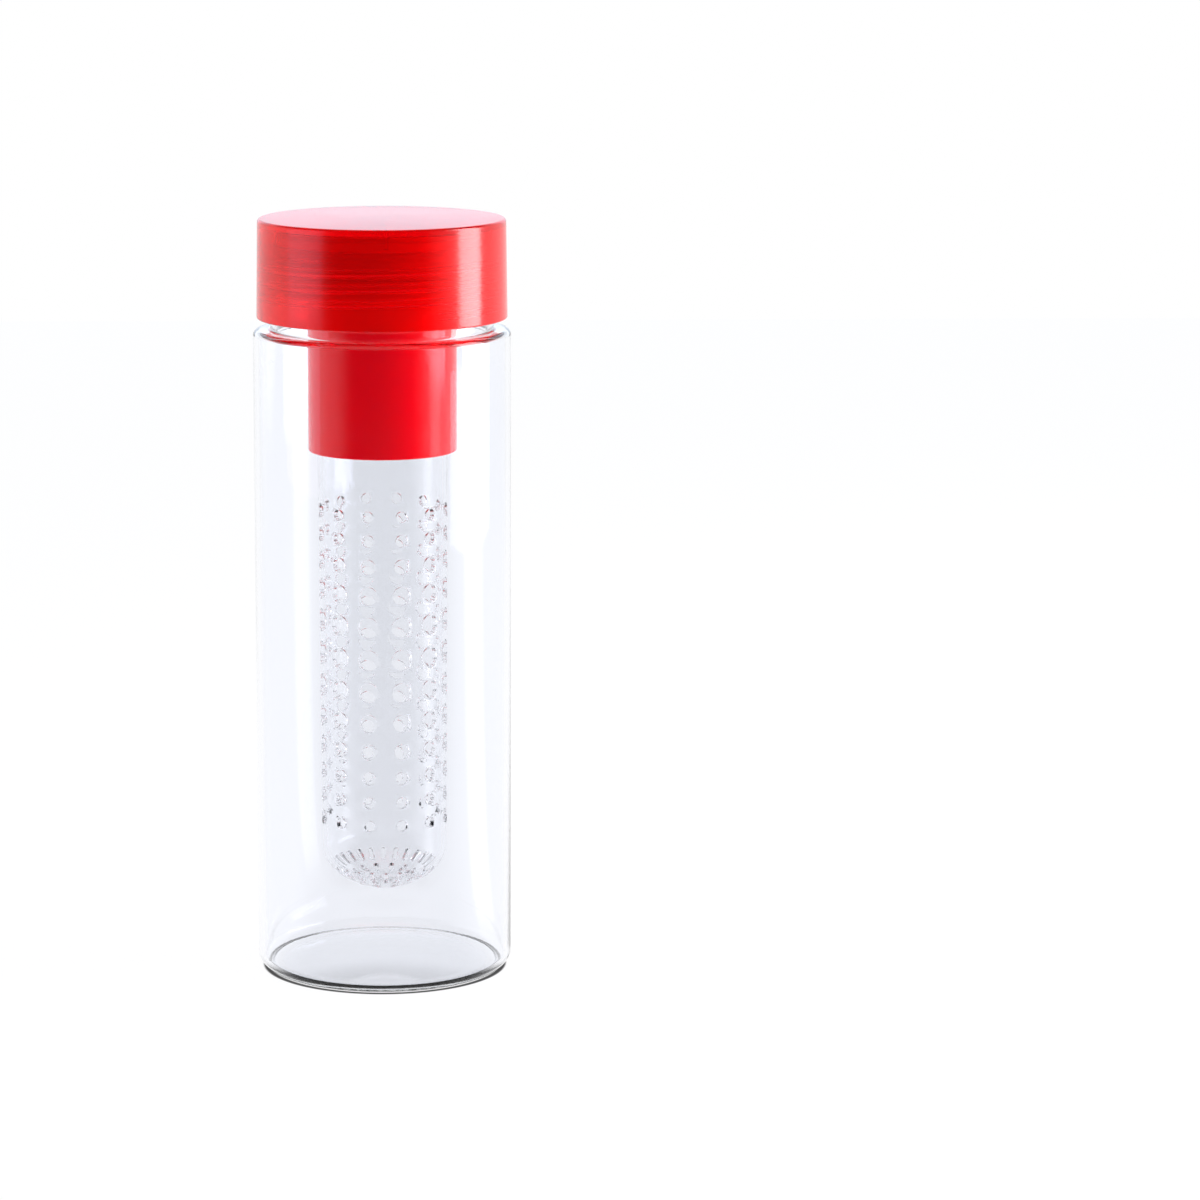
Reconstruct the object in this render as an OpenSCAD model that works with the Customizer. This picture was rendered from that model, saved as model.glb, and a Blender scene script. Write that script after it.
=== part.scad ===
// Sports water bottle with a fruit infuser: a clear bottle, a translucent screw lid with its seal,
// and an infuser of a slotted collar, a sealing ring and a perforated tube with a domed end.
// Millimetres, +Z up, origin at the centre of the standing face. The front is towards -Y.

/* [Bottle] */
// Outer diameter of the straight body
body_d = 72; // [66:0.5:84]
// Wall of the straight body
body_wall = 1.7; // [1.2:0.1:2.4]
// Height of the shoulder above the standing face
shoulder_z = 182.4; // [165:0.2:230]
// Width of the shoulder's ledge, from the body's side in to the foot of the neck
ledge_w = 3.6; // [3:0.1:6]
// Rounding of the shoulder's outer corner
shoulder_round = 2.5; // [1:0.1:3.2]
// Thickness of the shoulder
shoulder_t = 2.2; // [1.6:0.1:3]
// Rounding of the base's outer corner
base_round = 4.5; // [3:0.1:6]
// Thickness of the floor over its raised middle
base_t = 3.2; // [2:0.1:4.5]
// Thickness of the floor over the standing ring
ring_t = 2.6; // [2:0.1:4]
// Width of the base's ring, from the body's side in to the raised middle
base_ring_w = 7; // [6:0.1:12]
// Rise of the middle of the base
punt_h = 3; // [1.5:0.1:4]

/* [Neck] */
// Height of the lip above the shoulder
neck_h = 24.4; // [22:0.1:30]
// Wall of the neck between bore and thread root
neck_wall = 1.4; // [1.2:0.1:1.6]
// Height of the plain band at the foot of the neck
foot_h = 2.6; // [1.5:0.1:3]
// How far that band stands out from the thread root
foot_step = 1.3; // [0.6:0.1:1.6]
// Rounding where the neck meets the shoulder
foot_fillet = 0.5; // [0.2:0.1:0.8]
// Rounding of the lip
lip_round = 0.5; // [0.2:0.1:0.6]

/* [Screw thread] */
// Rise of the thread in one turn
thread_lead = 4.2; // [3.8:0.1:5]
// Height of the neck's thread above its root
neck_thread_h = 1.4; // [1:0.1:1.6]
// Height of the lid's thread, in from the lid's wall
lid_thread_h = 1.9; // [1.6:0.1:2.2]
// Width of a ridge at its root
thread_root_w = 2.3; // [1.6:0.1:2.6]
// Width of a ridge at its crest
thread_crest_w = 1; // [0.6:0.1:1.4]
// Rise from the shoulder to the low end of the neck's thread
thread_rise = 8.8; // [7:0.1:11]
// Drop from the lip to the top end of the neck's thread
thread_drop = 3; // [2:0.1:5]
// Drop from the inside of the lid's top to the top end of its thread
lid_thread_drop = 7.5; // [6:0.1:10]
// Radial clearance between a crest and the facing root
thread_clear = 0.3; // [0.2:0.05:0.5]

/* [Lid] */
// Draft of the side: how much smaller the radius is at the top
lid_draft = 0.4; // [0:0.1:0.8]
// Wall of the lid at the top of its side
lid_wall = 1.3; // [1:0.1:1.4]
// Thickness of the lid's top
lid_top_t = 2; // [1.4:0.1:3]
// Gap between the lid's lower edge and the shoulder
lid_gap = 3.2; // [1:0.1:4]
// Rounding of the lid's top edge
lid_round = 1.4; // [0.6:0.1:1.8]
// Bevel of the lid's lower edge
lid_bevel = 0.4; // [0.2:0.1:0.6]
// Number of small ribs that centre the seal
rib_count = 6; // [4:1:12]
// Width of a rib
rib_w = 0.9; // [0.6:0.1:1.4]
// How far a rib stands in from the wall
rib_l = 1.2; // [0.8:0.1:1.4]
// Height of a rib below the lid's top
rib_h = 3.4; // [2:0.1:4]

/* [Seals] */
// Thickness of the flat seal in the lid
seal_t = 1.4; // [1:0.1:2]
// Width of the flat seal
seal_w = 6.45; // [3:0.05:9]
// Axial clearance on each side of the flat seal
seal_clear = 0.05; // [0.03:0.01:0.1]
// Height of the ring round the collar
ring_h = 7.2; // [5:0.1:8]
// Drop from the bottle's lip to the top of the ring
ring_drop = 0.5; // [0.3:0.1:1]
// Clearance of the ring in the bore and on the collar
ring_clear = 0.08; // [0.03:0.01:0.1]
// Rounding of the ring's outer edges
ring_round = 0.4; // [0.2:0.05:0.5]

/* [Infuser collar] */
// How far the rim reaches over the bottle's lip, out from the bore
rim_lap = 1.3; // [0.8:0.1:1.4]
// Thickness of the rim
rim_t = 3; // [2:0.1:3.6]
// Rounding of the rim's outer edges
rim_round = 0.8; // [0.3:0.1:1]
// Gap between the cup and the bore, which the ring fills
cup_gap = 1.3; // [1:0.1:2]
// Wall of the cup
cup_wall = 1.1; // [0.9:0.1:1.4]
// Depth of the cup from the rim to its floor
cup_depth = 15.4; // [14:0.1:18]
// Thickness of the cup's floor
floor_t = 1.8; // [1.2:0.1:2.4]
// Height of the flange that holds the ring from below
flange_h = 1.2; // [0.8:0.1:1.6]
// How far that flange stands out from the cup
flange_l = 0.9; // [0.5:0.1:1]
// Width of the floor between the cup's wall and the sleeve
floor_w = 6.45; // [5.6:0.05:9]
// Wall of the sleeve
sleeve_wall = 1.6; // [1.2:0.1:1.8]
// Length of the sleeve below the floor
sleeve_l = 44.2; // [36:0.2:50]
// Height of the raised mouth of the sleeve above the floor
mouth_h = 3; // [2:0.1:4]
// Width of the finger bar across the mouth
bar_w = 2.4; // [1.8:0.1:4]
// Drop from the mouth of the sleeve to the top of the bar
bar_drop = 0.3; // [0.2:0.1:1]
// Number of water slots in the floor
slot_count = 8; // [4:1:8]
// Width of a slot
slot_w = 5; // [3:0.1:5.2]
// Angle between the centres of a slot's round ends, in degrees
slot_arc = 24; // [12:1:28]

/* [Infuser tube] */
// Gap between the tube and the sleeve's bore below the plug
tube_gap = 1.05; // [0.6:0.05:2]
// Draft of the tube: how much smaller the radius is where the dome begins
tube_draft = 0.45; // [0:0.05:1]
// Wall of the tube
tube_wall = 1.4; // [1:0.1:1.6]
// Gap between the dome and the bottle's floor
dome_gap = 16.4; // [10:0.1:30]
// Distance from the axis to the centre of the dome's shoulder arc
knuckle_r = 6.75; // [5:0.05:9]
// How much lower than that arc the dome's crown ends
crown_drop = 2.3; // [1.4:0.1:4]
// Length of the plug that fits in the sleeve
plug_l = 13.6; // [10:0.1:14.4]
// Depth in the sleeve at which the plug's top end sits
plug_depth = 15.9; // [14:0.1:18]
// Radial clearance of the plug in the sleeve
plug_clear = 0.1; // [0.05:0.01:0.2]
// Height of the ridge in the sleeve that stops the plug
stop_h = 1.2; // [0.8:0.1:2]
// How far that ridge stands in
stop_l = 0.9; // [0.5:0.1:1.2]
// Rows of holes
hole_rows = 12; // [4:1:12]
// Holes in a row, an even number
hole_cols = 12; // [6:2:12]
// Diameter of the smallest holes, at the ends
hole_end_d = 3; // [2:0.1:3.4]
// Web of wall between the largest hole and the next one in its row
col_web = 3.4; // [2:0.1:6]
// Drop from the mouth of the sleeve to the first row
hole_drop = 16.5; // [12:0.1:18]
// Rise from the top of the dome to the last row
hole_rise = 8.0; // [2:0.1:12]
// Radial slots in the outer ring of the dome
dome_slots_out = 24; // [8:1:24]
// Radial slots in the inner ring of the dome
dome_slots_in = 12; // [6:1:14]
// Width of a dome slot
dome_slot_w = 1.3; // [0.8:0.1:1.6]
// Plain rim of the dome outside its outer ring of slots
dome_rim_w = 1.95; // [1:0.05:3]
// Inner radius of the inner ring of slots
dome_in_r = 6.6; // [6:0.1:7.4]
// Radial length of a dome slot
dome_slot_l = 3.6; // [2:0.1:4]
// Diameter of the gate mark under the dome
gate_d = 2.6; // [1.5:0.1:4]
// Height of the gate mark
gate_h = 0.5; // [0.2:0.1:0.8]

/* [Hidden] */
$fn = 96;

// Turns, in degrees from +X
thread_turn = 290;
rib_turn = 32;
slot_turn = 22.5;
hole_turn = 16.5;
// Row at which the holes are largest, counted from 0 at the top
hole_peak_row = 4.6;
// Sections of a thread ridge in one turn, and those over which its ends run out
thread_steps = 48;
runout_steps = 5;
// Share of its height that a ridge keeps at its very end
runout_share = 0.1;
// How far a ridge is sunk in its wall, and how far a cut runs past a face
sink = 0.4;
over = 1;

body_r = body_d / 2;
body_in_r = body_r - body_wall;
punt_r = body_r - base_ring_w;
punt_curve = (punt_r * punt_r + punt_h * punt_h) / (2 * punt_h);
punt_z = punt_h - punt_curve;
foot_r = body_r - ledge_w;
root_r = foot_r - foot_step;
bore_r = root_r - neck_wall;
lip_z = shoulder_z + neck_h;
neck_thread_z = shoulder_z + thread_rise;
neck_turns = (lip_z - thread_drop - neck_thread_z) / thread_lead;

rim_r = bore_r + rim_lap;
rim_z = lip_z + rim_t;
cup_r = bore_r - cup_gap;
cup_in_r = cup_r - cup_wall;
floor_z = rim_z - cup_depth;
floor_low_z = floor_z - floor_t;
sleeve_r = cup_in_r - floor_w;
sleeve_in_r = sleeve_r - sleeve_wall;
sleeve_z = floor_low_z - sleeve_l;
slot_r = (sleeve_r + cup_in_r) / 2;
ring_z = lip_z - ring_drop - ring_h;
ring_in_r = cup_r + ring_clear;
ring_out_r = bore_r - ring_clear;

lid_in_r = root_r + thread_clear + lid_thread_h;
lid_top_r = lid_in_r + lid_wall;
lid_r = lid_top_r + lid_draft;
lid_z = shoulder_z + lid_gap;
lid_under_z = rim_z + seal_t + 2 * seal_clear;
lid_top_z = lid_under_z + lid_top_t;
lid_thread_z = neck_thread_z - thread_lead / 2;
lid_turns = (lid_under_z - lid_thread_drop - lid_thread_z) / thread_lead;
seal_r = lid_in_r - rib_l - seal_clear;
seal_in_r = seal_r - seal_w;

tube_top_r = sleeve_in_r - tube_gap;
tube_low_r = tube_top_r - tube_draft;
dome_knuckle = tube_low_r - knuckle_r;
dome_h = dome_knuckle + crown_drop;
apex_z = punt_h + base_t + dome_gap;
dome_z = apex_z + dome_h;
crown_r = (dome_h * dome_h + knuckle_r * knuckle_r - dome_knuckle * dome_knuckle) / (2 * crown_drop);
crown_z = apex_z + crown_r;
plug_r = sleeve_in_r - plug_clear;
plug_top_z = sleeve_z + plug_depth;
plug_low_z = plug_top_z - plug_l;
dome_out_r = tube_low_r - dome_rim_w - dome_slot_l;
hole_mid_d = 2 * tube_low_r * sin(180 / hole_cols) - col_web;
hole_web = (sleeve_z - hole_drop - dome_z - hole_rise - bores_h(hole_rows - 1)) / (hole_rows - 1);

clear_plastic = [0.88, 0.92, 0.97, 0.35];
lid_red = [0.86, 0.05, 0.09, 0.75];
collar_red = [0.85, 0.05, 0.08];
ring_pink = [0.98, 0.66, 0.70];
seal_white = [0.94, 0.92, 0.92];

// What lies between a square corner at the origin and a round of radius r that touches both sides
module corner(r) {
    difference() {
        square(r);
        translate([r, r]) circle(r);
    }
}

// Half section of a disc from z0 to z1, with both outer corners rounded
module round_band(r, z0, z1, round_low, round_top) {
    difference() {
        translate([0, z0]) square([r, z1 - z0]);
        if (round_low > 0) translate([r, z0]) mirror([1, 0]) corner(round_low);
        if (round_top > 0) translate([r, z1]) mirror([1, 0]) mirror([0, 1]) corner(round_top);
    }
}

// Share of full height that a ridge has at a section, which runs out at both ends
function runout(i, n) = max(runout_share, min(1, i / runout_steps, (n - i) / runout_steps));

// One point of a ridge: radius, turn and height
function ridge_point(r, a, z) = [r * cos(a), r * sin(a), z];

// Screw ridge on a wall of radius r, rising by the lead in one turn, standing out (side 1) or in (side -1)
module ridge(r, h, turns, z0, side) {
    n = round(turns * thread_steps);
    half_root = thread_root_w / 2;
    half_crest = thread_crest_w / 2;
    points = [for (i = [0:n])
        let (a = thread_turn + 360 * i / thread_steps,
             z = z0 + thread_lead * i / thread_steps,
             crest = r + side * h * runout(i, n),
             base = r - side * sink)
        each [ridge_point(base, a, z - half_root), ridge_point(crest, a, z - half_crest),
              ridge_point(crest, a, z + half_crest), ridge_point(base, a, z + half_root)]];
    quads = [for (i = [0:n - 1], k = [0:3])
        let (k2 = (k + 1) % 4)
        [4 * i + k, 4 * i + k2, 4 * i + 4 + k2, 4 * i + 4 + k]];
    sides = [for (q = quads) each [[q[0], q[1], q[2]], [q[0], q[2], q[3]]]];
    ends = [[3, 2, 1], [3, 1, 0], [4 * n, 4 * n + 1, 4 * n + 2], [4 * n, 4 * n + 2, 4 * n + 3]];
    faces = concat(sides, ends);
    polyhedron(points, side > 0 ? faces : [for (f = faces) [f[2], f[1], f[0]]]);
}

// Half section of the bottle's outside: body, shoulder, foot of the neck and neck
module bottle_outside() {
    round_band(body_r, 0, shoulder_z, base_round, shoulder_round);
    translate([foot_r, shoulder_z]) corner(foot_fillet);
    translate([0, shoulder_z])
        polygon([[0, 0], [foot_r, 0], [foot_r, foot_h - foot_step / 2], [root_r, foot_h], [0, foot_h]]);
    round_band(root_r, shoulder_z, lip_z, 0, lip_round);
}

// Half section of the bottle's inside, down to the floor that follows the raised middle of the base
module bottle_inside() {
    ceiling_z = shoulder_z - shoulder_t;
    inner_round = base_round - body_wall;
    difference() {
        union() {
            round_band(body_in_r, ring_t, ceiling_z, inner_round, shoulder_round / 2);
            translate([bore_r, ceiling_z]) corner(foot_fillet);
        }
        translate([0, punt_z]) circle(punt_curve + base_t);
    }
    translate([0, ceiling_z - over]) square([bore_r, neck_h + shoulder_t + 2 * over]);
    translate([bore_r, lip_z]) mirror([0, 1]) corner(lip_round);
}

// Clear one-piece bottle with a screw neck
module bottle() {
    color(clear_plastic) {
        rotate_extrude()
            difference() {
                bottle_outside();
                bottle_inside();
                intersection() {
                    translate([0, punt_z]) circle(punt_curve);
                    square([body_r, punt_h + over]);
                }
            }
        ridge(root_r, neck_thread_h, neck_turns, neck_thread_z, 1);
    }
}

// Half section of the lid's shell, with a drafted side and a rounded top edge
module lid_section() {
    side_z = lid_top_z - lid_round;
    difference() {
        union() {
            polygon([[0, lid_z], [lid_r - lid_bevel, lid_z], [lid_r, lid_z + lid_bevel],
                     [lid_top_r, side_z], [0, side_z]]);
            round_band(lid_top_r, side_z - over, lid_top_z, 0, lid_round);
        }
        round_band(lid_in_r, lid_z - over, lid_under_z, 0, lid_wall / 2);
    }
}

// Translucent screw lid with its thread and the ribs that centre the seal
module lid() {
    color(lid_red) {
        rotate_extrude() lid_section();
        ridge(lid_in_r, lid_thread_h, lid_turns, lid_thread_z, -1);
        for (i = [0:rib_count - 1])
            rotate(rib_turn + 360 * i / rib_count)
                translate([lid_in_r - rib_l, -rib_w / 2, lid_under_z - rib_h])
                    cube([rib_l + sink, rib_w, rib_h + sink]);
    }
}

// Flat seal under the lid's top, which presses on the collar's rim
module lid_seal() {
    color(seal_white)
        translate([0, 0, rim_z + seal_clear])
            difference() {
                cylinder(h = seal_t, r = seal_r);
                translate([0, 0, -over]) cylinder(h = seal_t + 2 * over, r = seal_in_r);
            }
}

// Half section of the collar: rim, cup, flange, floor, raised mouth and sleeve
module collar_section() {
    flange_z = ring_z - ring_clear - flange_h;
    sleeve_round = sleeve_wall / 3;
    difference() {
        union() {
            round_band(rim_r, lip_z, rim_z, rim_round / 2, rim_round);
            round_band(cup_r, floor_low_z, rim_z - over, floor_t / 2, 0);
            round_band(cup_r + flange_l, flange_z, flange_z + flange_h, flange_l / 2, flange_l / 3);
            round_band(sleeve_r, sleeve_z, floor_z + mouth_h, sleeve_round, sleeve_round);
            translate([sleeve_r, floor_low_z]) mirror([0, 1]) corner(cup_wall / 2);
        }
        difference() {
            union() {
                round_band(cup_in_r, floor_z, rim_z + over, cup_wall, 0);
                translate([cup_in_r, rim_z]) mirror([0, 1]) corner(rim_round / 2);
            }
            round_band(sleeve_r, floor_z - over, floor_z + mouth_h, 0, sleeve_round);
        }
        translate([0, sleeve_z - over]) square([sleeve_in_r, rim_z - sleeve_z]);
        translate([sleeve_in_r, sleeve_z]) corner(sleeve_round);
    }
    translate([sleeve_in_r - stop_l, plug_top_z + plug_clear])
        square([stop_l + sleeve_wall / 2, stop_h]);
}

// Bean-shaped slot through the cup's floor
module water_slot() {
    translate([0, 0, floor_low_z - over]) {
        rotate([0, 0, -slot_arc / 2])
            rotate_extrude(angle = slot_arc)
                translate([slot_r - slot_w / 2, 0]) square([slot_w, floor_t + 2 * over]);
        for (a = [-slot_arc / 2, slot_arc / 2])
            rotate(a) translate([slot_r, 0, 0]) cylinder(h = floor_t + 2 * over, r = slot_w / 2);
    }
}

// Finger bar across the mouth of the sleeve, round along its top
module finger_bar() {
    bar_h = mouth_h - bar_drop - bar_w / 2;
    translate([-sleeve_in_r - sleeve_wall / 2, 0, floor_z])
        rotate([90, 0, 90])
            linear_extrude(2 * sleeve_in_r + sleeve_wall) {
                translate([-bar_w / 2, 0]) square([bar_w, bar_h]);
                translate([0, bar_h]) circle(bar_w / 2);
            }
}

// Collar that hangs the infuser in the neck
module infuser_collar() {
    color(collar_red) {
        difference() {
            rotate_extrude() collar_section();
            for (i = [0:slot_count - 1]) rotate(slot_turn + 360 * i / slot_count) water_slot();
        }
        finger_bar();
    }
}

// Soft ring round the cup, which grips and seals the bottle's bore
module collar_seal() {
    color(ring_pink)
        rotate_extrude()
            difference() {
                round_band(ring_out_r, ring_z, ring_z + ring_h, ring_round, ring_round);
                translate([0, ring_z - over]) square([ring_in_r, ring_h + 2 * over]);
            }
}

// Half section of the tube's outside, or of its inside when it is drawn in by the wall
module tube_half(inset) {
    low_r = tube_low_r - inset;
    top_r = tube_top_r - inset;
    neck_z = plug_low_z + inset;
    taper_z = neck_z + plug_r - tube_top_r;
    polygon([[0, dome_z], [low_r, dome_z], [top_r, sleeve_z], [top_r, neck_z],
             [plug_r - inset, taper_z], [plug_r - inset, plug_top_z], [0, plug_top_z]]);
    intersection() {
        square([body_r, dome_z + over]);
        union() {
            translate([knuckle_r, dome_z]) circle(dome_knuckle - inset);
            polygon([[0, crown_z], [0, dome_z], [knuckle_r, dome_z]]);
            intersection() {
                translate([0, crown_z]) circle(crown_r - inset);
                polygon([[0, crown_z], [0, 0],
                         [knuckle_r * crown_z / (crown_z - dome_z), 0]]);
            }
            translate([0, dome_z]) square([low_r, over]);
        }
    }
}

// Size of a row's holes: smallest in the end rows, growing smoothly to the peak row
function row_share(i) = i < hole_peak_row
    ? (1 - cos(180 * i / hole_peak_row)) / 2
    : (1 - cos(180 * (hole_rows - 1 - i) / (hole_rows - 1 - hole_peak_row))) / 2;
function row_d(i) = hole_end_d + (hole_mid_d - hole_end_d) * row_share(i);
// Drop from the middle of the first row to the middle of row i, without the webs between
function bores_h(i) = i < 1 ? 0 : bores_h(i - 1) + (row_d(i - 1) + row_d(i)) / 2;
// Drop of a row below the first one
function row_drop(i) = bores_h(i) + hole_web * i;

// Ring of straight slots that point at the axis, cut up through the dome
module dome_slots(count, r, turn) {
    for (i = [0:count - 1])
        rotate(turn + 360 * i / count)
            translate([r, -dome_slot_w / 2, apex_z])
                cube([dome_slot_l, dome_slot_w, dome_h - tube_wall]);
}

// Clear perforated tube, closed by a slotted dome, open at the top where its plug fits the sleeve
module infuser_tube() {
    color(clear_plastic)
        difference() {
            union() {
                rotate_extrude()
                    difference() {
                        tube_half(0);
                        difference() {
                            tube_half(tube_wall);
                            square([plug_r, apex_z]);
                        }
                        translate([0, plug_top_z - tube_wall]) square([plug_r - tube_wall, 2 * tube_wall]);
                    }
                translate([0, 0, apex_z - gate_h]) cylinder(h = gate_h + tube_wall / 2, r = gate_d / 2);
            }
            for (i = [0:hole_rows - 1], k = [0:hole_cols - 1])
                rotate(hole_turn + 360 * k / hole_cols)
                    translate([knuckle_r, 0, sleeve_z - hole_drop - row_drop(i)])
                        rotate([0, 90, 0]) cylinder(h = body_r - knuckle_r, r = row_d(i) / 2);
            dome_slots(dome_slots_out, dome_out_r, hole_turn);
            dome_slots(dome_slots_in, dome_in_r, hole_turn);
        }
}

bottle();
lid();
lid_seal();
infuser_collar();
collar_seal();
infuser_tube();
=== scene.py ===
import math

import bpy
import bmesh
import numpy as np
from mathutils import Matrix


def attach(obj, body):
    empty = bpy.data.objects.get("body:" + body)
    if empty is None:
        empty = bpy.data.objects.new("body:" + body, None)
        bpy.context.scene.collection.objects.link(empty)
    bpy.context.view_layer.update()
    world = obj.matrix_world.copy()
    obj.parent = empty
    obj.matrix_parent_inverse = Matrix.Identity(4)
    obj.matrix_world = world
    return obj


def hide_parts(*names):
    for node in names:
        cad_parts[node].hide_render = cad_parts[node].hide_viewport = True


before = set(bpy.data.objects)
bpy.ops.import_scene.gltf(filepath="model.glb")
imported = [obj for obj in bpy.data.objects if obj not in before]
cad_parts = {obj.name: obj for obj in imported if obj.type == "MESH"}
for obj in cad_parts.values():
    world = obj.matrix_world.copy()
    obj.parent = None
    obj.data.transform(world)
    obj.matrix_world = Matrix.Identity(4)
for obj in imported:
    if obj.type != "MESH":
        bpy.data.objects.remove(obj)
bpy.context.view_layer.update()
print("stage: frame loaded")

millimetre = 0.001
weldReach, sliverReach = 2e-6, 1e-7  # metres: points this close merge, shorter edges go
sharpAngle = 32  # degrees: a sharper edge stays crisp
smallest = 1e-9  # keeps a divisor off zero
edgeShare = 0.3  # how far in a hole's rounded edge is at its middle, of its rounding
cloudDetail, flowDetail, grainDetail = 3.0, 2.0, 3.0  # octaves of noise


# Path through corners (radius, height, rounding): each rounded corner becomes an arc that touches
# both sides.
def roundedPath(corners, facets=6):
    parts = []
    for i, (r, z, rounding) in enumerate(corners):
        here = np.array([r, z], float)
        if rounding <= 0 or i in (0, len(corners) - 1):
            parts.append(here[None])
            continue
        back = np.array(corners[i - 1][:2], float) - here
        ahead = np.array(corners[i + 1][:2], float) - here
        back, ahead = back / np.linalg.norm(back), ahead / np.linalg.norm(ahead)
        half = math.acos(np.clip(back @ ahead, -1, 1)) / 2
        middle = (back + ahead) / np.linalg.norm(back + ahead)
        centre = here + middle * rounding / math.sin(half)
        ends = [here + d * rounding / math.tan(half) - centre for d in (back, ahead)]
        start, stop = (math.atan2(e[1], e[0]) for e in ends)
        swing = (stop - start + math.pi) % (2 * math.pi) - math.pi
        a = start + swing * np.linspace(0, 1, facets + 1)
        parts.append(centre + rounding * np.stack([np.cos(a), np.sin(a)], 1))
    return np.vstack(parts)


# Extra points on a path wherever two neighbours lie further apart than step.
def refined(path, step):
    parts = [path[:1]]
    for a, b in zip(path[:-1], path[1:]):
        n = max(1, int(math.ceil(np.linalg.norm(b - a) / step)))
        parts.append(a + (b - a) * (np.arange(1, n + 1) / n)[:, None])
    return np.vstack(parts)


# Evenly spaced angles once round the axis.
def fullTurn(count):
    return np.linspace(0, 2 * math.pi, count + 1)[:-1]


# Surface of revolution: each path point (radius, height) is carried round the axis through every turn.
def revolved(path, turns):
    r, z = path[:, 0][:, None], path[:, 1][:, None]
    return np.stack([r * np.cos(turns), r * np.sin(turns), z + 0 * turns], -1)


# Quads between neighbours of a grid, joined end to end along rows or columns where it is closed.
def gridFaces(rows, columns, closedRows=False, closedColumns=True):
    i = np.arange(rows if closedRows else rows - 1)[:, None]
    j = np.arange(columns if closedColumns else columns - 1)[None, :]
    i2, j2 = (i + 1) % rows, (j + 1) % columns
    quads = np.stack([i * columns + j, i * columns + j2, i2 * columns + j2, i2 * columns + j], -1)
    return quads.reshape(-1, 4)


class Shell:
    def __init__(self):
        self.points, self.quads, self.count = [], [], 0

    def add(self, grid, quads):
        flat = grid.reshape(-1, 3)
        self.points.append(flat)
        self.quads.append(quads + self.count)
        self.count += len(flat)

    def addSheet(self, path, turns, closedRows=False):
        self.add(revolved(path, turns), gridFaces(len(path), len(turns), closedRows))

    def finish(self, name, material):
        points = np.vstack(self.points) * millimetre
        mesh = bpy.data.meshes.new(name)
        mesh.from_pydata(points.tolist(), [], np.vstack(self.quads).tolist())
        work = bmesh.new()
        work.from_mesh(mesh)
        bmesh.ops.remove_doubles(work, verts=work.verts, dist=weldReach)
        bmesh.ops.dissolve_degenerate(work, edges=work.edges, dist=sliverReach)
        bmesh.ops.recalc_face_normals(work, faces=work.faces)
        openEdges = sum(1 for e in work.edges if not e.is_manifold)
        work.to_mesh(mesh)
        work.free()
        mesh.shade_smooth()
        mesh.set_sharp_from_angle(angle=math.radians(sharpAngle))
        piece = bpy.data.objects.new(name, mesh)
        bpy.context.scene.collection.objects.link(piece)
        mesh.materials.append(material)
        print(f"  {name}: {len(mesh.polygons)} faces, {openEdges} open edges")
        return piece


# Height of a screw ridge over its wall: a trapezoid round a helix, run out at both ends.
def ridgeHeight(turn, z, thread):
    u = ((turn - math.radians(thread["startTurn"])) % (2 * math.pi)) / (2 * math.pi)
    rise = (z - thread["startZ"]) / thread["lead"] - u
    lap = np.clip(np.round(rise), 0, None)
    along = u + lap
    off = np.abs(rise - lap) * thread["lead"]
    flank = (thread["rootWidth"] - thread["crestWidth"]) / 2
    share = np.clip((thread["rootWidth"] / 2 - off) / flank, 0, 1)
    share = share * share * (3 - 2 * share)
    runOut = np.clip(np.minimum(along, thread["turns"] - along) / thread["runOut"], 0, 1)
    return thread["height"] * share * runOut


# Wall with a screw ridge: rows climb with the thread, so that the ridge follows them, and stop flat at
# both ends.
def addThreaded(shell, wallRadius, side, low, high, turns, thread, step):
    perLap = int(round(thread["lead"] / step))
    rows = int(math.ceil((high - low) / thread["lead"] * perLap)) + perLap
    turns = np.append(turns, turns[0] + 2 * math.pi)
    lap = (turns - math.radians(thread["startTurn"])) / (2 * math.pi)
    base = thread["startZ"] + thread["lead"] * lap
    offset = math.ceil((base.max() - low) / thread["lead"]) * thread["lead"]
    z = base[None] - offset + thread["lead"] / perLap * np.arange(rows + 2 * perLap + 1)[:, None]
    z = np.clip(z, low, high)
    radius = wallRadius + side * ridgeHeight(turns[None], z, thread)
    grid = np.stack([radius * np.cos(turns), radius * np.sin(turns), z], -1)
    shell.add(grid, gridFaces(len(z), len(turns), closedColumns=False))


# Reach of a slot's edge from its middle in a unit direction: a long hole with round ends, or a round
# one.
def slotReach(dx, dy, halfX, halfY):
    if halfX < halfY:
        return slotReach(dy, dx, halfY, halfX)
    straight = halfX - halfY
    side = halfY / np.maximum(np.abs(dy), smallest)
    end = straight * np.abs(dx) + np.sqrt(np.maximum(halfY**2 - (straight * dy) ** 2, 0))
    return np.where(np.abs(dx) * side <= straight, side, end)


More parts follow.
